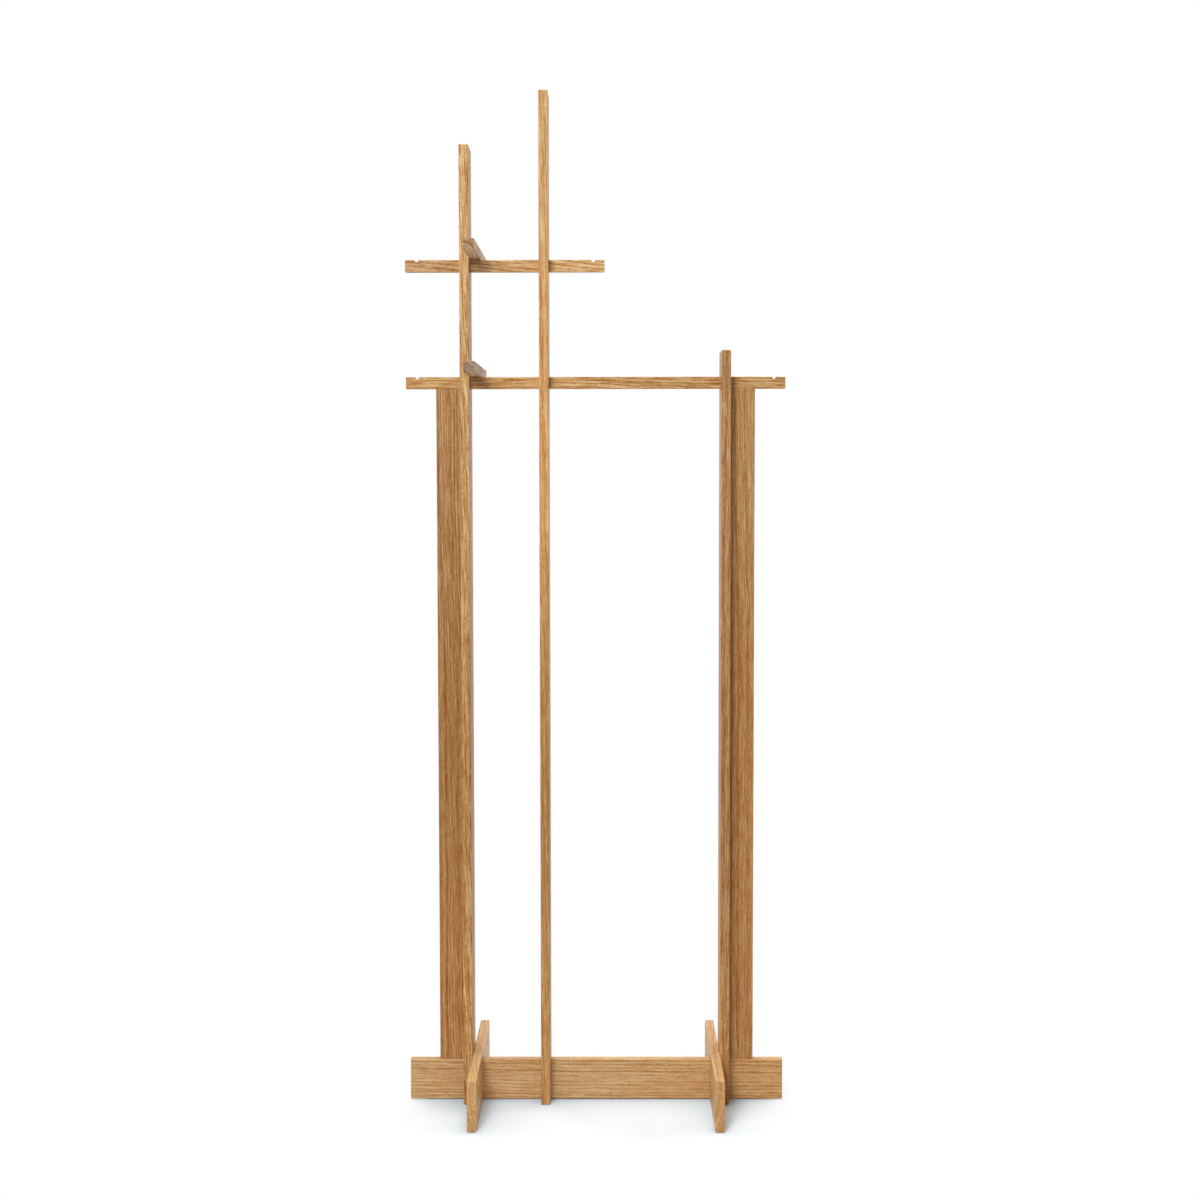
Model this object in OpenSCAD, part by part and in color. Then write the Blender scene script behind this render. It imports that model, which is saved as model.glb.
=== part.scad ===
// Free-standing clothes rack of oiled oak boards that lap and slot through one another.
// Sizes are in millimetres. X runs along the rack, Y towards its back and Z up.
// The origin is on the floor, under the middle of the base board.

/* [Timber] */
// Thickness of the feet, base board, posts, panels and rails
board_t = 17; // [15:0.5:24]
// Chamfer that eases every edge of a board
edge_ease = 1; // [0.5:0.1:2]
// Clearance on each side of a board in its lap, slot or mortise
joint_gap = 0.1; // [0.05:0.05:0.3]

/* [Base] */
// Length of the base board
base_l = 700; // [660:5:900]
// Height of the base board
base_h = 76; // [64:1:110]
// Height of the base board's lower edge above the floor
base_lift = 1; // [0.5:0.5:4]
// Length of each foot, front to back
foot_l = 400; // [300:10:560]
// Height of each foot
foot_h = 94; // [84:1:140]

/* [Posts] */
// Depth of each post, front to back
post_d = 85; // [64:1:120]
// Distance from the rack's centre to the inner face of each side post
post_in = 231; // [180:1:250]
// Place of the middle post's centre, measured from the rack's centre
middle_x = -94.5; // [-130:0.5:-30]
// Height of the left post
left_post_h = 1775; // [1700:5:1900]
// Height of the middle post
middle_post_h = 1872; // [1700:1:2000]
// Height of the right post
right_post_h = 1403; // [1390:1:1600]

/* [Panels] */
// Width of each panel beside its post
panel_w = 46; // [36:1:64]

/* [Rails] */
// Height of each rail
rail_h = 22; // [18:1:30]
// Height of the lower rail's top above the floor
lower_rail_top = 1356; // [1200:1:1370]
// Length of the lower rail
lower_rail_l = 700; // [660:5:900]
// Height of the upper rail's top above the floor
upper_rail_top = 1570; // [1450:1:1650]
// Length of the upper rail
upper_rail_l = 367; // [340:1:460]
// Distance from the rack's centre to the upper rail's left end
upper_rail_out = 350; // [320:1:380]
// Radius of the hook notches in the top of the rails
notch_r = 4; // [2.5:0.5:6]
// Distance from a rail's end to the middle of its notch
notch_in = 21; // [14:1:32]

/* [Arms] */
// Length of each arm, front to back
arm_l = 340; // [300:10:440]
// Distance that each arm's middle lies in front of the rails' middle
arm_forward = 15; // [0:5:30]
// Width of each arm
arm_w = 20; // [16:1:28]
// Height of each arm
arm_h = 20; // [16:1:28]

/* [Dowels] */
// Diameter of the dowels in the panels and feet
dowel_d = 8; // [6:1:9]
// Length of the dowels in the panels
panel_dowel_l = 30; // [24:1:36]
// Length of the dowels between a foot and its post
foot_dowel_l = 24; // [18:1:26]
// Diameter of the dowels in the arms
arm_dowel_d = 6; // [4:1:7]
// Length of the dowels in the arms
arm_dowel_l = 24; // [18:1:26]
// Depth that a panel dowel enters the board beside the panel
dowel_bite = 11; // [8:1:12]
// Depth that an arm dowel enters the post or rail
arm_dowel_bite = 10; // [7:1:12]
// Dowels along each panel's inner edge
panel_edge_dowels = 5; // [3:1:8]
// Distance from a panel's end to the nearest dowel in its inner edge
panel_edge_margin = 60; // [50:5:120]
// Distance between the two dowels in a panel's end
panel_end_pitch = 22; // [14:1:24]
// Distance between the two dowels in a foot
foot_dowel_pitch = 52; // [36:1:54]
// Height of the dowels in a foot above its lap
foot_dowel_rise = 24; // [12:1:32]
// Distance between the two dowels in the side of an arm
arm_dowel_pitch = 52; // [32:1:54]
// Radial space for glue around a dowel
glue_gap = 0.05; // [0.03:0.01:0.1]
// Space left in a hole beyond the end of its dowel or screw
hole_spare = 0.5; // [0.3:0.1:1]

/* [Screws] */
// Diameter of the wood screws' shanks
screw_d = 4.5; // [3.5:0.5:5]
// Diameter of the screws' countersunk heads
screw_head_d = 8.5; // [7:0.5:10]
// Depth that a screw enters the rail or the base board
screw_bite = 11; // [8:1:12]
// Length of the screws' points
screw_point_l = 5; // [3:0.5:6]
// Depth of the screw heads below the face of the post
screw_sink = 0.3; // [0.2:0.1:1]
// Radial clearance around a screw
screw_gap = 0.05; // [0.03:0.01:0.1]
// Across-flats width of the six-sided recess in a screw head
screw_socket_w = 3; // [2.5:0.5:3]
// Depth of the recess in a screw head
screw_socket_deep = 2; // [1.5:0.1:2.4]

/* [Hidden] */

// Facets on a full circle of a dowel, screw, hole or notch
round_fn = 48;
// A cut runs this far past the face that it opens
cut_over = 1;
// Chamfer on the ends of a dowel
dowel_ease = 0.8;

oak_light = "#d2a56b";
oak_mid = "#c08d57";
oak_dark = "#ad7a48";
beech = "#dcc196";
steel = "#a8a8a4";

left = -1;
right = 1;
sides = [left, right];

// Heights, from the floor up
base_top = base_lift + base_h;
lap_z = base_lift + base_h / 2;
lower_rail_bottom = lower_rail_top - rail_h;
panel_h = lower_rail_bottom - base_top;
foot_dowel_z = lap_z + foot_dowel_rise;
base_screw_z = base_lift + base_h / 4;

// Places along the rack
post_mid = post_in + board_t / 2;
post_out = post_in + board_t;
foot_mid = post_in - board_t / 2;
panel_mid = post_out + panel_w / 2;
arm_mid = -post_in + arm_w / 2;
upper_rail_mid = upper_rail_l / 2 - upper_rail_out;

// Depth of the strip of post that closes a mortise at the back
post_strip = (post_d - board_t) / 2;
screw_l = post_strip + screw_bite - screw_sink;
screw_cone_h = (screw_head_d - screw_d) / 2;
screw_socket_d = screw_socket_w / cos(30);

// Outline of a rectangle with its corners cut off
module eased_rectangle(width, height) {
    x = width / 2;
    y = height / 2;
    e = edge_ease;
    polygon([
        [-x + e, -y], [x - e, -y], [x, -y + e], [x, y - e],
        [x - e, y], [-x + e, y], [-x, y - e], [-x, -y + e]
    ]);
}

// Board with all twelve edges eased, centred on X and Y and standing on Z = 0
module eased_board(size) {
    translate([0, 0, size[2] / 2])
        intersection() {
            linear_extrude(size[2], center = true)
                eased_rectangle(size[0], size[1]);
            rotate([90, 0, 0])
                linear_extrude(size[1], center = true)
                    eased_rectangle(size[0], size[2]);
            rotate([90, 0, 90])
                linear_extrude(size[0], center = true)
                    eased_rectangle(size[1], size[2]);
        }
}

// Block that is cut out of a board, centred on X and Y
module cut_block(width, depth, z_low, z_high) {
    translate([-width / 2, -depth / 2, z_low])
        cube([width, depth, z_high - z_low]);
}

// Dowel along +Z from its lower end, with its ends chamfered
module dowel(diameter, length) {
    r = diameter / 2;
    rotate_extrude($fn = round_fn)
        polygon([
            [0, 0], [r - dowel_ease, 0], [r, dowel_ease],
            [r, length - dowel_ease], [r - dowel_ease, length], [0, length]
        ]);
}

// Hole for a dowel, with room for glue around it and beyond its ends
module dowel_hole(diameter, length) {
    translate([0, 0, -hole_spare])
        cylinder(h = length + 2 * hole_spare, d = diameter + 2 * glue_gap, $fn = round_fn);
}

// Countersunk wood screw with its head at the origin and its point towards +Z
module wood_screw() {
    r = screw_d / 2;
    head_r = screw_head_d / 2;
    difference() {
        rotate_extrude($fn = round_fn)
            polygon([
                [0, 0], [head_r, 0], [r, screw_cone_h],
                [r, screw_l - screw_point_l], [0, screw_l]
            ]);
        translate([0, 0, -cut_over])
            cylinder(h = screw_socket_deep + cut_over, d = screw_socket_d, $fn = 6);
    }
}

// Hole for a wood screw, open above its head
module screw_hole() {
    r = screw_d / 2 + screw_gap;
    head_r = screw_head_d / 2 + screw_gap;
    rotate_extrude($fn = round_fn)
        polygon([
            [0, -screw_sink - cut_over], [head_r, -screw_sink - cut_over], [head_r, 0],
            [r, head_r - r], [r, screw_l + hole_spare], [0, screw_l + hole_spare]
        ]);
}

// Each place_ module below puts its children where the dowels or screws of one kind go
module place_panel_edge_dowels(side) {
    first_z = base_top + panel_edge_margin;
    pitch = (panel_h - 2 * panel_edge_margin) / (panel_edge_dowels - 1);
    for (i = [0 : panel_edge_dowels - 1])
        translate([side * (post_out - dowel_bite), 0, first_z + i * pitch])
            rotate([0, side * 90, 0])
                children();
}

module place_panel_end_dowels(z_low) {
    for (side = sides, end = sides)
        translate([side * panel_mid + end * panel_end_pitch / 2, 0, z_low])
            children();
}

module place_panel_base_dowels() {
    place_panel_end_dowels(base_top - dowel_bite) children();
}

module place_panel_rail_dowels() {
    place_panel_end_dowels(lower_rail_bottom + dowel_bite - panel_dowel_l) children();
}

module place_foot_dowels() {
    for (side = sides, end = sides)
        translate([side * post_in - foot_dowel_l / 2, end * foot_dowel_pitch / 2, foot_dowel_z])
            rotate([0, 90, 0])
                children();
}

module place_arm_side_dowels() {
    for (seat_z = [lower_rail_top, upper_rail_top], end = sides)
        translate([-post_in - arm_dowel_bite, end * arm_dowel_pitch / 2, seat_z + arm_h / 2])
            rotate([0, 90, 0])
                children();
}

module place_arm_seat_dowels() {
    for (seat_z = [lower_rail_top, upper_rail_top])
        translate([arm_mid, 0, seat_z - arm_dowel_bite])
            children();
}

// Puts a screw in the back of a post, pointing to the front
module place_back_screw(x, z) {
    translate([x, post_d / 2 - screw_sink, z])
        rotate([90, 0, 0])
            children();
}

module place_rail_screws() {
    lower_z = lower_rail_top - rail_h / 2;
    upper_z = upper_rail_top - rail_h / 2;
    for (x = [-post_mid, middle_x, post_mid])
        place_back_screw(x, lower_z) children();
    for (x = [-post_mid, middle_x])
        place_back_screw(x, upper_z) children();
}

module place_base_screws() {
    for (x = [-post_mid, middle_x, post_mid])
        place_back_screw(x, base_screw_z) children();
}

// Foot that laps over the base board; its top runs unbroken over the lap
module foot(side) {
    difference() {
        translate([side * foot_mid, 0, 0])
            eased_board([board_t, foot_l, foot_h]);
        translate([side * foot_mid, 0, 0])
            cut_block(board_t + 2 * cut_over, board_t + 2 * joint_gap, -cut_over, lap_z);
        place_foot_dowels()
            dowel_hole(dowel_d, foot_dowel_l);
    }
}

// Post that laps over the base board and takes the rails through its mortises
module post(x, height, rail_tops) {
    difference() {
        translate([x, 0, 0])
            eased_board([board_t, post_d, height]);
        translate([x, 0, 0])
            cut_block(board_t + 2 * cut_over, board_t + 2 * joint_gap, -cut_over, lap_z);
        for (rail_top = rail_tops)
            translate([x, 0, 0])
                cut_block(board_t + 2 * cut_over, board_t + 2 * joint_gap,
                    rail_top - rail_h, rail_top + joint_gap);
        place_rail_screws()
            screw_hole();
        place_base_screws()
            screw_hole();
    }
}

// Panel that stands on the base board, against its post and under the lower rail
module panel(side) {
    difference() {
        translate([side * panel_mid, 0, base_top])
            eased_board([panel_w, board_t, panel_h]);
        place_panel_edge_dowels(side)
            dowel_hole(dowel_d, panel_dowel_l);
        place_panel_base_dowels()
            dowel_hole(dowel_d, panel_dowel_l);
        place_panel_rail_dowels()
            dowel_hole(dowel_d, panel_dowel_l);
    }
}

// Rail with a half-round notch for a hanger's hook near each end
module rail(x, length, top) {
    difference() {
        translate([x, 0, top - rail_h])
            eased_board([length, board_t, rail_h]);
        for (end = sides)
            translate([x + end * (length / 2 - notch_in), 0, top])
                rotate([90, 0, 0])
                    cylinder(h = board_t + 2 * cut_over, r = notch_r, center = true, $fn = round_fn);
        place_rail_screws()
            screw_hole();
        place_panel_rail_dowels()
            dowel_hole(dowel_d, panel_dowel_l);
        place_arm_seat_dowels()
            dowel_hole(arm_dowel_d, arm_dowel_l);
    }
}

// Arm that sits on a rail, against the left post
module arm(seat_z) {
    difference() {
        translate([arm_mid, -arm_forward, seat_z])
            eased_board([arm_w, arm_l, arm_h]);
        place_arm_side_dowels()
            dowel_hole(arm_dowel_d, arm_dowel_l);
        place_arm_seat_dowels()
            dowel_hole(arm_dowel_d, arm_dowel_l);
    }
}

module left_foot() {
    color(oak_dark) foot(left);
}

module right_foot() {
    color(oak_dark) foot(right);
}

// Board on its edge, notched from above for the feet and posts
module base_board() {
    side_notch_w = 2 * board_t + 2 * joint_gap;
    color(oak_mid)
        difference() {
            translate([0, 0, base_lift])
                eased_board([base_l, board_t, base_h]);
            for (side = sides)
                translate([side * post_in, 0, 0])
                    cut_block(side_notch_w, board_t + 2 * cut_over, lap_z, base_top + cut_over);
            translate([middle_x, 0, 0])
                cut_block(board_t + 2 * joint_gap, board_t + 2 * cut_over, lap_z, base_top + cut_over);
            place_base_screws()
                screw_hole();
            place_panel_base_dowels()
                dowel_hole(dowel_d, panel_dowel_l);
        }
}

module left_post() {
    color(oak_light)
        difference() {
            post(-post_mid, left_post_h, [lower_rail_top, upper_rail_top]);
            place_panel_edge_dowels(left)
                dowel_hole(dowel_d, panel_dowel_l);
            place_foot_dowels()
                dowel_hole(dowel_d, foot_dowel_l);
            place_arm_side_dowels()
                dowel_hole(arm_dowel_d, arm_dowel_l);
        }
}

module middle_post() {
    color(oak_light) post(middle_x, middle_post_h, [lower_rail_top, upper_rail_top]);
}

module right_post() {
    color(oak_light)
        difference() {
            post(post_mid, right_post_h, [lower_rail_top]);
            place_panel_edge_dowels(right)
                dowel_hole(dowel_d, panel_dowel_l);
            place_foot_dowels()
                dowel_hole(dowel_d, foot_dowel_l);
        }
}

module left_panel() {
    color(oak_mid) panel(left);
}

module right_panel() {
    color(oak_mid) panel(right);
}

module lower_rail() {
    color(oak_light) rail(0, lower_rail_l, lower_rail_top);
}

module upper_rail() {
    color(oak_light) rail(upper_rail_mid, upper_rail_l, upper_rail_top);
}

module lower_arm() {
    color(oak_dark) arm(lower_rail_top);
}

module upper_arm() {
    color(oak_dark) arm(upper_rail_top);
}

module left_panel_edge_dowels() {
    color(beech)
        place_panel_edge_dowels(left)
            dowel(dowel_d, panel_dowel_l);
}

module right_panel_edge_dowels() {
    color(beech)
        place_panel_edge_dowels(right)
            dowel(dowel_d, panel_dowel_l);
}

module panel_base_dowels() {
    color(beech)
        place_panel_base_dowels()
            dowel(dowel_d, panel_dowel_l);
}

module panel_rail_dowels() {
    color(beech)
        place_panel_rail_dowels()
            dowel(dowel_d, panel_dowel_l);
}

module foot_dowels() {
    color(beech)
        place_foot_dowels()
            dowel(dowel_d, foot_dowel_l);
}

module arm_side_dowels() {
    color(beech)
        place_arm_side_dowels()
            dowel(arm_dowel_d, arm_dowel_l);
}

module arm_seat_dowels() {
    color(beech)
        place_arm_seat_dowels()
            dowel(arm_dowel_d, arm_dowel_l);
}

module rail_screws() {
    color(steel)
        place_rail_screws()
            wood_screw();
}

module base_screws() {
    color(steel)
        place_base_screws()
            wood_screw();
}

left_foot();
right_foot();
base_board();
left_post();
middle_post();
right_post();
left_panel();
right_panel();
lower_rail();
upper_rail();
lower_arm();
upper_arm();
left_panel_edge_dowels();
right_panel_edge_dowels();
panel_base_dowels();
panel_rail_dowels();
foot_dowels();
arm_side_dowels();
arm_seat_dowels();
rail_screws();
base_screws();
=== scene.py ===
import math
from typing import NamedTuple

import bpy
from mathutils import Matrix, Vector


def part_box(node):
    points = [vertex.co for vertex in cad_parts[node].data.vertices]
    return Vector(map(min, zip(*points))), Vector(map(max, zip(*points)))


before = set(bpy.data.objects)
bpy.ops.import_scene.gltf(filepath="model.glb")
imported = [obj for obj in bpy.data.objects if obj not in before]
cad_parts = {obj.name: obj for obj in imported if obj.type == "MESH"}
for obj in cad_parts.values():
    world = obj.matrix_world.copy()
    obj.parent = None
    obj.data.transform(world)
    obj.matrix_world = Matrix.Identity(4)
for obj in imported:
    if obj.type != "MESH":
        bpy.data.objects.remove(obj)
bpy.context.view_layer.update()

# Everything is in metres, in the frame of the CAD model: X along the rack, Y to the back, Z up.

WHITE = (1, 1, 1, 1)

# Camera of the photograph
PHOTO_PIXELS = 1200
FOCAL_PIXELS = 2001.8
SENSOR_MM = 36
CAMERA_PLACE = (0.0266, -3.717, 1.181)
CAMERA_TURN = math.radians(0.29)
CAMERA_TILT = math.radians(-3.66)
CAMERA_ROLL = math.radians(-0.07)

# Light of the room, as a share of the white that the camera, mirrors and clear pieces see
ROOM_LIGHT = 0.05

# Lamps: name, place, the point that it faces, side in metres and power in watts
LAMPS = [
    ("key", (-0.9, -2.7, 2.6), (0, 0, 1.0), 1.0, 37),
    ("front", (-0.5, -2.7, 2.0), (0, 0, 0.8), 0.7, 28),
    ("low", (0.1, -1.9, 0.3), (0, 0, 0.1), 0.45, 4),
    ("top", (0, 0.3, 5.0), (0, 0.1, 0), 2.4, 155),
    ("back", (-2.4, 2.4, 1.8), (0, 0, 0.9), 1.4, 40),
    ("right", (2.6, 0.8, 1.3), (0, 0, 0.9), 1.2, 25),
]

# Floor: side, drop below the feet, paint as it throws light back and as it is seen, and roughness
FLOOR_SIDE = 60
FLOOR_DROP = 0.0002
FLOOR_PAINT = (0.6, 0.6, 0.6)
FLOOR_SEEN = (0.91, 0.93, 0.94)
FLOOR_ROUGH = 0.5

# Shade round what stands on the floor: reach, tint, and number of rays that look for it
TOUCH_REACH = 0.10
TOUCH_SHADE = (0.50, 0.65, 0.76)
TOUCH_RAYS = 8

# Patch of the floor that shows its shadows: half length and half width, and the distances from there
# between which it fades into white
FLOOR_KEPT = (0.30, 0.19)
FLOOR_FADE = (0.0, 0.08)

# How far one step of a board's seed takes it through the noises, so that no two boards are alike
SEED_STEP = (0.731, 0.417, 1.913)

# Values of a noise at which a mark is at its faintest and at its fullest
MARK_RANGE = (0.3, 0.7)

# Slow shifts of the grain: how far apart across it and along it, and how far they reach
DRIFTS = [
    (0.30, 0.55, 0.022),
    (0.03, 0.10, 0.0022),
]

# Growth rings: width of one, how far apart they run wide or narrow, and by how many rings that shifts them
RING = 0.0064
RING_SWELL = 0.011
RING_SHIFT = 3.4

# Early wood: share of a ring in which it sets in, power with which it fades over the rest, and how far
# apart it is strong and weak across the rings and along the trunk
EARLY_START = 0.1
EARLY_FADE = 2.0
BAND = (0.0045, 0.035)

# Pores: how far apart across the grain and along it, the shares of early wood between which they crowd,
# the noise at which they open before and after that, and how far above it they are full
PORE = (0.00042, 0.0075)
PORE_CROWD = (0.05, 0.75)
PORE_OPENS = (0.66, 0.53)
PORE_EDGE = 0.05

# Marks in the wood, from long to short: how far apart out from the trunk's centre, around it and along it,
# and what they add to the darkness at their faintest and at their fullest
MARKS = [
    (0.07, 0.07, 0.45, -0.04, 0.05),
    (0.0022, 0.0080, 0.065, -0.28, 0.30),
    (0.0018, 0.0018, 0.026, -0.25, 0.27),
    (0.0020, 0.0020, 0.0060, -0.15, 0.17),
]

# Darkness of plain wood, and what the early wood of the weakest and of the strongest rings adds to it
PLAIN_DARK = 0.28
RING_DARK = (0.24, 0.66)

# Oak from its palest fibre to its darkest, as written on screen
OAK = [(230, 195, 149), (196, 145, 94), (162, 96, 39)]

# Warm streaks: how far apart across the grain and along it, and how far they are moved off other marks
WARM = (0.003, 0.06)
WARM_SHIFT = (0.3, 0.7, 0.1)

# What the colour is multiplied by in warm streaks, in pores, on cut ends and, as a painted highlight, on
# eased edges, and the share of it that pores get
WARM_TINT = (1.03, 0.98, 0.93)
PORE_TINT = (0.60, 0.46, 0.30)
END_TINT = (0.60, 0.60, 0.78)
EDGE_HIGHLIGHT_TINT = (1.10, 1.10, 1.12)
PORE_SHARE = 0.8

# How squarely a surface faces along the grain where end grain starts and where it is full, and along the
# nearest axis where an eased edge's painted highlight is full and where it no longer is
END_FACING = (0.75, 0.95)
EDGE_HIGHLIGHT_FACING = (0.76, 0.92)

# Relief of oiled oak: rise of pores, early wood and fibres, as shares of its depth, and its strength
PORE_RISE = -0.7
EARLY_RISE = -0.25
FIBRE_RISE = 0.3
OAK_DEPTH = 0.0003
OAK_RELIEF = 0.35

# Sheen of oiled oak: roughness at its faintest and fullest fibres, what a pore adds, and how it mirrors
OAK_ROUGH = (0.37, 0.45)
PORE_ROUGH = 0.15
OAK_IOR = 1.4
OAK_SPECULAR = 0.3

# Raw beech: its fibre at its palest and darkest and its rays, as written on screen, and its roughness
BEECH_PALE = (226, 196, 154)
BEECH_DARK = (205, 170, 124)
BEECH_RAY = (160, 118, 78)
BEECH_ROUGH = (0.62, 0.74)

# Beech's fibres and rays: how far apart, noise at which a ray starts and is full, and share of its colour
BEECH_FIBRE_SIZE = (0.0008, 0.0008, 0.0008)
BEECH_RAY_SIZE = (0.0025, 0.0006, 0.0006)
BEECH_RAY_RANGE = (0.56, 0.64)
BEECH_RAY_SHARE = 0.5

# Zinc: bright and stained, as written on screen, and its roughness
ZINC_BRIGHT = (196, 197, 194)
ZINC_STAINED = (168, 167, 160)
ZINC_ROUGH = (0.28, 0.42)

# Zinc's tool marks and stains: how far apart, and the noise at which a stain starts and is full
ZINC_MARK_SIZE = (0.0012, 0.0002, 0.0012)
ZINC_STAIN_SIZE = (0.002, 0.002, 0.002)
ZINC_STAIN_RANGE = (0.35, 0.7)

# Shades of oak, as what its colours are multiplied by: partly the boards' own tone, and partly painted
# light and sheen, as the uprights run darker in the middle and paler and cooler towards the top, and the
# arms are cooler, as light and sheen fall on them
PALEST = (1.08, 1.22, 1.28)
PALE = (1.00, 1.10, 1.10)
FRESH = (1.05, 1.08, 0.97)
PLAIN = (0.90, 0.95, 0.90)
SAND = (0.95, 0.90, 0.72)
TAN = (0.83, 0.75, 0.60)
HONEY = (0.74, 0.67, 0.52)
TOFFEE = (0.65, 0.58, 0.45)
MUTED = (0.80, 0.79, 0.70)
GREY = (0.73, 0.73, 0.70)
COOL = (0.87, 0.97, 1.10)
ASH = (0.70, 0.80, 1.00)


class Board(NamedTuple):
    """Wood of one board: the axis that its grain runs along, the trunk's centre across the grain from the
    board's middle, how far the grain runs off in each direction across it per metre, the strength of its
    marks, the share of end grain's darkening on its cut ends, and the shades that it runs through, evenly
    spaced from the low end of its grain axis to the high end, which are partly painted light and shade."""

    grain: str
    pith: tuple
    slope: tuple
    figure: float
    ends: float
    shades: tuple


BOARDS = {
    "left_foot": Board("Y", (0.16, 0.02), (0.006, 0.01), 0.7, 0.1, (FRESH, FRESH)),
    "right_foot": Board("Y", (-0.16, 0.03), (0.004, 0.012), 0.7, 0.1, (FRESH, PALE)),
    "base_board": Board("X", (0.05, 0.16), (0.01, 0.012), 0.6, 1.0, (PALEST, PALEST, FRESH)),
    "left_post": Board("Z", (-0.12, 0.03), (0.045, 0.01), 1.1, 1.0, (FRESH, HONEY, PLAIN, PALEST)),
    "middle_post": Board("Z", (0.13, 0.04), (0.02, 0.008), 0.7, 1.0, (SAND, HONEY, FRESH, PALE)),
    "right_post": Board("Z", (0.11, 0.02), (-0.015, 0.012), 0.9, 1.0, (TAN, TOFFEE, GREY)),
    "left_panel": Board("Z", (0.12, 0.06), (0.008, 0.006), 0.75, 1.0, (TAN, TOFFEE, GREY)),
    "right_panel": Board("Z", (-0.13, 0.07), (0.010, 0.007), 0.75, 1.0, (TAN, HONEY, MUTED)),
    "lower_rail": Board("X", (0.04, 0.13), (0.01, 0.01), 1.15, 1.0, (PLAIN, PLAIN, PLAIN, MUTED, PLAIN)),
    "upper_rail": Board("X", (0.05, -0.12), (0.02, 0.10), 1.1, 1.0, (COOL, PALEST)),
    "lower_arm": Board("Y", (0.02, 0.03), (0.01, 0.01), 0.9, 0.7, (ASH, ASH)),
    "upper_arm": Board("Y", (-0.015, -0.02), (0.01, 0.01), 0.9, 0.7, (COOL, COOL)),
}


def linear(colour):
    """Colour of 0 to 255 as written on screen, as the linear colour that a shader takes."""
    shares = [channel / 255 for channel in colour]
    return [s / 12.92 if s <= 0.04045 else ((s + 0.055) / 1.055) ** 2.4 for s in shares] + [1]


class Graph:
    """Short calls that build the node tree of one material or world."""

    def __init__(self, owner):
        owner.use_nodes = True
        self.tree = owner.node_tree
        self.tree.nodes.clear()

    def add(self, kind, inputs=None, **settings):
        """A node, with each input linked where it is given another node's output, and else set."""
        node = self.tree.nodes.new("ShaderNode" + kind)
        for name, value in settings.items():
            setattr(node, name, value)
        for key, value in (inputs or {}).items():
            if isinstance(value, bpy.types.NodeSocket):
                self.tree.links.new(value, node.inputs[key])
            else:
                node.inputs[key].default_value = value
        return node

    def math(self, operation, first, second=0.0):
        return self.add("Math", {0: first, 1: second}, operation=operation).outputs[0]

    def vector(self, operation, first, second=(0, 0, 0)):
        return self.add("VectorMath", {0: first, 1: second}, operation=operation).outputs[0]

    def measure(self, operation, first, second=(0, 0, 0)):
        """Number that is the LENGTH of one vector or the DOT_PRODUCT of two."""
        return self.add("VectorMath", {0: first, 1: second}, operation=operation).outputs["Value"]

    def parts(self, vector):
        return self.add("SeparateXYZ", {0: vector}).outputs

    def join(self, x, y, z):
        return self.add("CombineXYZ", {0: x, 1: y, 2: z}).outputs[0]

    def noise(self, place, size, detail):
        """Value from 0 to 1 and colour of a noise whose grains are size = (x, y, z) metres apart."""
        inputs = {"Vector": self.vector("DIVIDE", place, size), "Scale": 1.0, "Detail": detail}
        return self.add("TexNoise", inputs).outputs

    def spread(self, value, low, high, to_low=0.0, to_high=1.0, smooth=False):
        """Value from low to high, stretched to run from to_low to to_high."""
        inputs = {0: value, 1: low, 2: high, 3: to_low, 4: to_high}
        kind = "SMOOTHSTEP" if smooth else "LINEAR"
        return self.add("MapRange", inputs, interpolation_type=kind).outputs[0]

    def mix(self, factor, first, second, blend="MIX"):
        """Two colours, which are the node's inputs 6 and 7, mixed into the colour that is its output 2."""
        inputs = {0: factor, 6: first, 7: second}
        return self.add("Mix", inputs, data_type="RGBA", blend_type=blend).outputs[2]

    def ramp(self, value, colours, blend="EASE"):
        """The colours, evenly spaced from value 0 to value 1."""
        node = self.add("ValToRGB", {0: value})
        node.color_ramp.interpolation = blend
        for _ in range(len(colours) - 2):
            node.color_ramp.elements.new(0.5)
        for index, (element, colour) in enumerate(zip(node.color_ramp.elements, colours)):
            element.position = index / (len(colours) - 1)
            element.color = (*colour[:3], 1)
        return node.outputs[0]

    def bump(self, height, strength, distance):
        return self.add("Bump", {"Strength": strength, "Distance": distance, "Height": height}).outputs[0]

    def finish(self, shader, output="OutputMaterial"):
        self.add(output, {"Surface": shader.outputs[0]})


def new_material(name):
    material = bpy.data.materials.new(name)
    return material, Graph(material)


def tinted(g, factor, colour, tint):
    """The colour, multiplied by a tint where factor is 1."""
    return g.mix(factor, colour, g.mix(1.0, colour, [*tint, 1], "MULTIPLY"))


def marks(g, place, size, detail=2.0):
    """Marks that lie size apart, from 0 to 1."""
    return g.spread(g.noise(place, size, detail)[0], *MARK_RANGE)


def lengthwise(across, along):
    """Size of marks that lie along the grain, which runs along Z."""
    return (across, across, along)


def board_place(g, middle, grain):
    """Place on a board from its middle, with X and Y across the grain and Z along it."""
    parts = g.parts(g.vector("SUBTRACT", g.add("TexCoord").outputs["Object"], middle))
    order = {"X": (1, 2, 0), "Y": (0, 2, 1), "Z": (0, 1, 2)}[grain]
    return g.join(*(parts[axis] for axis in order))


def drift(g, place, across, along, reach):
    """Sideways shift across the grain that changes slowly along it."""
    noise = g.noise(place, lengthwise(across, along), 1)["Color"]
    return g.vector("MULTIPLY", g.vector("SUBTRACT", noise, (0.5, 0.5, 0.5)), (reach, reach, 0))


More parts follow.
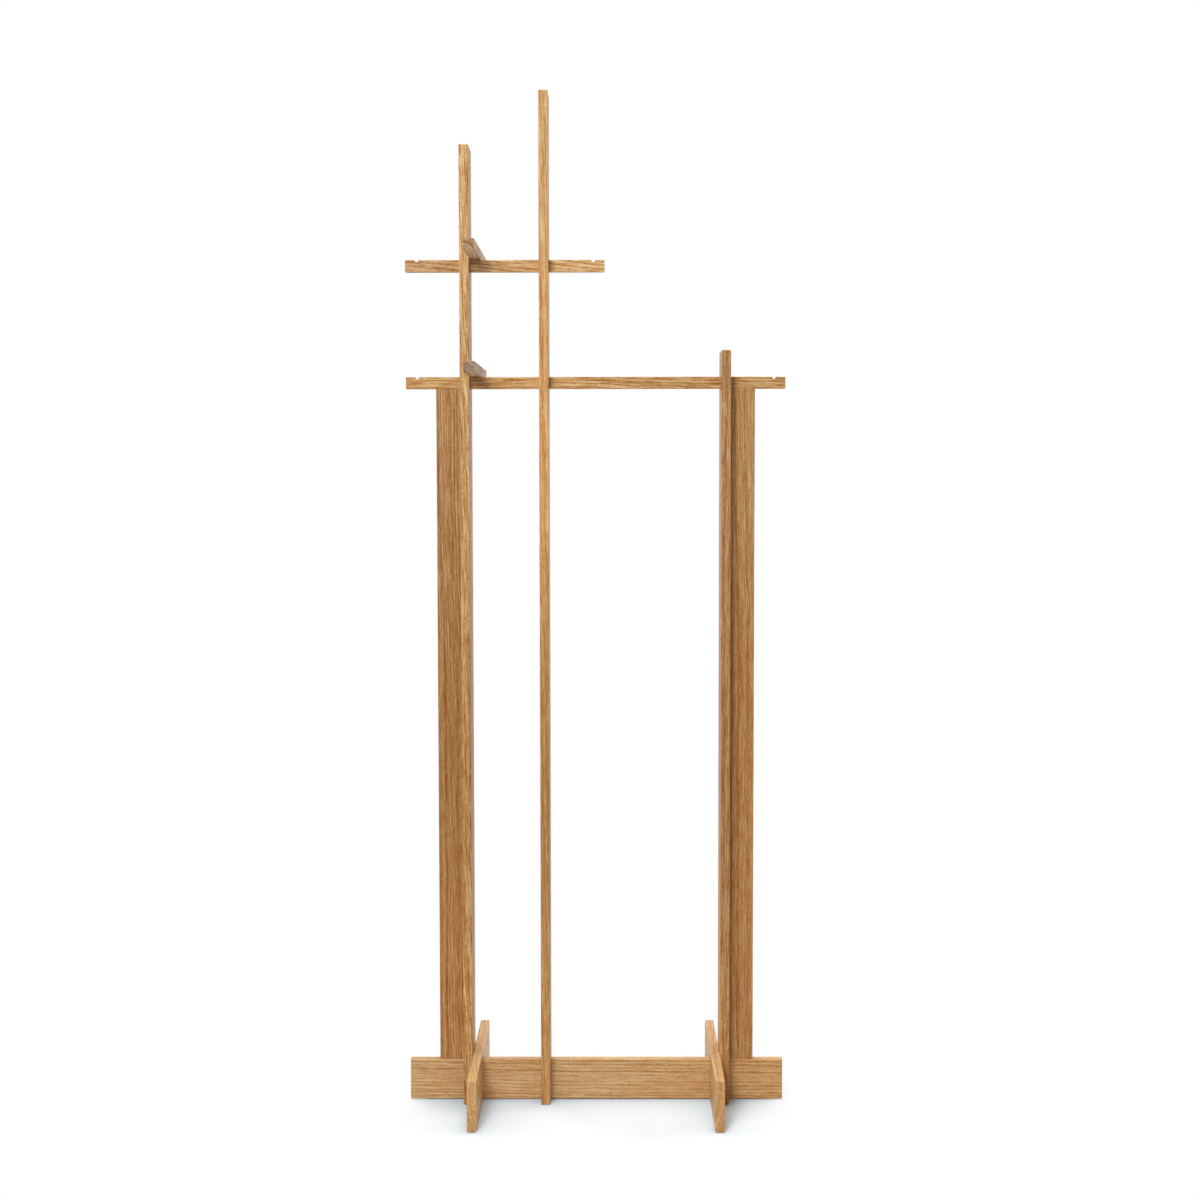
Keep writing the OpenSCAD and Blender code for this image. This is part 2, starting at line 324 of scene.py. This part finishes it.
def trunk_place(g, place, shifted, pith, slope):
    """Place in the trunk that the board was sawn from: out from its centre, around it and along it."""
    along = g.parts(place)[2]
    bent = g.vector("ADD", place, g.join(*(g.math("MULTIPLY", along, rise) for rise in slope), 0.0))
    for size in DRIFTS:
        bent = g.vector("ADD", bent, drift(g, shifted, *size))
    across = g.vector("MULTIPLY", g.vector("SUBTRACT", bent, (*pith, 0)), (1, 1, 0))
    reach = math.hypot(*pith)
    tangent = (-pith[1] / reach, pith[0] / reach, 0)
    return g.join(g.measure("LENGTH", across), g.measure("DOT_PRODUCT", across, tangent), along)


def growth_rings(g, trunk, seed):
    """Early wood, 1 where a ring starts and 0 where it ends, and the strength of each ring."""
    out, _, along = g.parts(trunk)
    swell = g.noise(g.join(out, 0.0, float(seed)), (RING_SWELL, 1, 1), 2)[0]
    count = g.math("ADD", g.math("DIVIDE", out, RING), g.math("MULTIPLY", swell, RING_SHIFT))
    share = g.math("FRACT", count)
    fade = g.math("POWER", g.math("SUBTRACT", 1.0, share), EARLY_FADE)
    early = g.math("MULTIPLY", fade, g.spread(share, 0.0, EARLY_START))
    return early, marks(g, g.join(out, float(seed), along), lengthwise(*BAND))


def pores(g, place, early):
    """Pores, long and thin and crowded into the early wood, from 0 to 1."""
    value = g.noise(place, lengthwise(*PORE), 2)[0]
    opens = g.spread(early, *PORE_CROWD, *PORE_OPENS)
    return g.spread(g.math("SUBTRACT", value, opens), 0.0, PORE_EDGE)


def darkness(g, place, early, strength, figure):
    """Darkness of the wood with its rings and marks, and its shortest marks, the fibres, by themselves."""
    dark = g.math("MULTIPLY", early, g.spread(strength, 0.0, 1.0, *RING_DARK))
    for *size, least, most in MARKS:
        fibre = marks(g, place, size, 3)
        dark = g.math("ADD", dark, g.spread(fibre, 0.0, 1.0, least, most))
    return g.math("ADD", g.math("MULTIPLY", dark, figure), PLAIN_DARK), fibre


def sharpest(g, normal):
    """How squarely a surface faces along an axis: 1 on a board's faces, less on its eased edges."""
    parts = g.parts(g.vector("ABSOLUTE", normal))
    return g.math("MAXIMUM", g.math("MAXIMUM", parts[0], parts[1]), parts[2])


def cut_ends_and_edge_highlight(g, colour, grain, ends):
    """The colour, darker on the fibres' cut ends, which soak up more oil, and paler on the eased edges, as
    a painted highlight.
    """
    normal = g.add("NewGeometry").outputs["True Normal"]
    axis = [float(letter == grain) for letter in "XYZ"]
    facing = g.math("ABSOLUTE", g.measure("DOT_PRODUCT", normal, axis))
    end = g.spread(facing, *END_FACING, 0.0, ends, smooth=True)
    # Painted highlight: eased edges made paler, whichever way the light falls on them
    edge_highlight = g.spread(sharpest(g, normal), *EDGE_HIGHLIGHT_FACING, 1.0, 0.0)
    return tinted(g, edge_highlight, tinted(g, end, colour, END_TINT), EDGE_HIGHLIGHT_TINT)


def oak_relief(g, pore, early, fibre):
    height = 0.0
    for part, rise in ((pore, PORE_RISE), (early, EARLY_RISE), (fibre, FIBRE_RISE)):
        height = g.math("ADD", height, g.math("MULTIPLY", part, rise))
    return g.bump(height, OAK_RELIEF, OAK_DEPTH)


def oak(node, board, seed):
    """Oiled oak of one board, sawn from its own place in its own trunk."""
    material, g = new_material("oak_" + node)
    low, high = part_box(node)
    seed_shift = tuple(seed * step for step in SEED_STEP)
    place = board_place(g, tuple((low + high) / 2), board.grain)
    shifted = g.vector("ADD", place, seed_shift)
    trunk = trunk_place(g, place, shifted, board.pith, board.slope)
    early, strength = growth_rings(g, trunk, seed)
    pore = pores(g, shifted, early)
    dark, fibre = darkness(g, g.vector("ADD", trunk, seed_shift), early, strength, board.figure)

    colour = g.ramp(dark, [linear(shade) for shade in OAK], "LINEAR")
    warm = marks(g, g.vector("ADD", shifted, WARM_SHIFT), lengthwise(*WARM))
    colour = tinted(g, warm, colour, WARM_TINT)
    # Shades along the board: its own tone, and painted light and sheen where they run paler towards the
    # uprights' tops
    half_length = float(max(high - low)) / 2
    share = g.spread(g.parts(place)[2], -half_length, half_length)
    colour = g.mix(1.0, colour, g.ramp(share, board.shades), "MULTIPLY")
    colour = tinted(g, g.math("MULTIPLY", pore, PORE_SHARE), colour, PORE_TINT)

    rough = g.math("ADD", g.spread(fibre, 0.0, 1.0, *OAK_ROUGH), g.math("MULTIPLY", pore, PORE_ROUGH))
    inputs = {
        "Base Color": cut_ends_and_edge_highlight(g, colour, board.grain, board.ends),
        "Roughness": rough,
        "Normal": oak_relief(g, pore, early, fibre),
        "IOR": OAK_IOR,
        "Specular IOR Level": OAK_SPECULAR,
    }
    g.finish(g.add("BsdfPrincipled", inputs))
    return material


def beech():
    """Raw beech of the turned dowels: pale, with short dark rays."""
    material, g = new_material("beech_dowels")
    place = g.add("TexCoord").outputs["Object"]
    fibre = marks(g, place, BEECH_FIBRE_SIZE, 3)
    ray = g.spread(g.noise(place, BEECH_RAY_SIZE, 2)[0], *BEECH_RAY_RANGE)
    colour = g.mix(fibre, linear(BEECH_PALE), linear(BEECH_DARK))
    inputs = {
        "Base Color": g.mix(g.math("MULTIPLY", ray, BEECH_RAY_SHARE), colour, linear(BEECH_RAY)),
        "Roughness": g.spread(fibre, 0.0, 1.0, *BEECH_ROUGH),
        "Normal": g.bump(fibre, strength=0.3, distance=0.0001),
    }
    g.finish(g.add("BsdfPrincipled", inputs))
    return material


def zinc():
    """Zinc-plated steel of the screws, with the fine marks of the tool that turned it."""
    material, g = new_material("zinc_screws")
    place = g.add("TexCoord").outputs["Object"]
    tool_mark = marks(g, place, ZINC_MARK_SIZE, 3)
    stain = g.spread(g.noise(place, ZINC_STAIN_SIZE, 2)[0], *ZINC_STAIN_RANGE)
    inputs = {
        "Base Color": g.mix(stain, linear(ZINC_BRIGHT), linear(ZINC_STAINED)),
        "Metallic": 1.0,
        "Roughness": g.spread(tool_mark, 0.0, 1.0, *ZINC_ROUGH),
        "Normal": g.bump(tool_mark, strength=0.25, distance=0.00005),
    }
    g.finish(g.add("BsdfPrincipled", inputs))
    return material


def paint(node, material):
    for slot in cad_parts[node].material_slots:
        slot.material = material


def seen_by_eye(g):
    """1 for a ray that comes from the camera, a mirror or a clear piece, and 0 for one that lights."""
    rays = g.add("LightPath").outputs
    seen = g.math("MAXIMUM", rays["Is Camera Ray"], rays["Is Glossy Ray"])
    return g.math("MAXIMUM", seen, rays["Is Transmission Ray"])


def make_room():
    world = bpy.data.worlds.new("white_room")
    bpy.context.scene.world = world
    g = Graph(world)
    strength = g.spread(seen_by_eye(g), 0.0, 1.0, ROOM_LIGHT, 1.0)
    g.finish(g.add("Background", {"Color": WHITE, "Strength": strength}), "OutputWorld")


def floor_paint():
    """Pale paint near the object, which keeps its shadow, and the backdrop's white further off."""
    material, g = new_material("pale_floor")
    place = g.vector("ABSOLUTE", g.add("TexCoord").outputs["Object"])
    beyond = g.vector("MAXIMUM", g.vector("SUBTRACT", place, (*FLOOR_KEPT, 0)))
    seen = seen_by_eye(g)
    open_share = g.add("AmbientOcclusion", {"Distance": TOUCH_REACH}, samples=TOUCH_RAYS).outputs["AO"]
    shade = [colour * tint for colour, tint in zip(FLOOR_SEEN, TOUCH_SHADE)]
    shown = g.mix(open_share, [*shade, 1], [*FLOOR_SEEN, 1])
    colour = g.mix(seen, [*FLOOR_PAINT, 1], shown)
    matte = g.add("BsdfDiffuse", {"Color": colour, "Roughness": FLOOR_ROUGH})
    white = g.add("Emission", {"Color": WHITE, "Strength": 1.0})
    away = g.spread(g.measure("LENGTH", beyond), *FLOOR_FADE, smooth=True)
    factor = g.math("MULTIPLY", away, seen)
    g.finish(g.add("MixShader", {0: factor, 1: matte.outputs[0], 2: white.outputs[0]}))
    return material


def add_object(name, data):
    """A new object of the scene, with this data."""
    item = bpy.data.objects.new(name, data)
    bpy.context.scene.collection.objects.link(item)
    return item


def make_floor():
    half = FLOOR_SIDE / 2
    mesh = bpy.data.meshes.new("floor")
    corners = [(-half, -half), (half, -half), (half, half), (-half, half)]
    mesh.from_pydata([(x, y, -FLOOR_DROP) for x, y in corners], [], [(0, 1, 2, 3)])
    mesh.materials.append(floor_paint())
    floor = add_object("floor", mesh)


def make_lamp(name, place, target, side, power):
    """A square lamp that the camera and mirrors don't see."""
    light = bpy.data.lights.new(name, "AREA")
    light.size = side
    light.energy = power
    lamp = add_object(name, light)
    lamp.location = place
    lamp.rotation_euler = (Vector(target) - Vector(place)).to_track_quat("-Z", "Y").to_euler()
    lamp.visible_camera = False
    lamp.visible_glossy = False


def make_camera():
    optics = bpy.data.cameras.new("camera")
    optics.sensor_width = SENSOR_MM
    optics.lens = FOCAL_PIXELS * SENSOR_MM / PHOTO_PIXELS
    camera = add_object("camera", optics)
    turn = Matrix.Rotation(CAMERA_TURN, 4, "Z")
    tilt = Matrix.Rotation(math.pi / 2 + CAMERA_TILT, 4, "X")
    roll = Matrix.Rotation(CAMERA_ROLL, 4, "Z")
    camera.matrix_world = Matrix.Translation(CAMERA_PLACE) @ turn @ tilt @ roll
    bpy.context.scene.camera = camera


make_camera()
make_room()
make_floor()
for lamp in LAMPS:
    make_lamp(*lamp)

for seed, (node, board) in enumerate(BOARDS.items(), start=1):
    paint(node, oak(node, board, seed))

dowel_wood = beech()
screw_metal = zinc()
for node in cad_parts:
    if node.endswith("_dowels"):
        paint(node, dowel_wood)
    if node.endswith("_screws"):
        paint(node, screw_metal)

bpy.context.scene.view_settings.view_transform = "Standard"
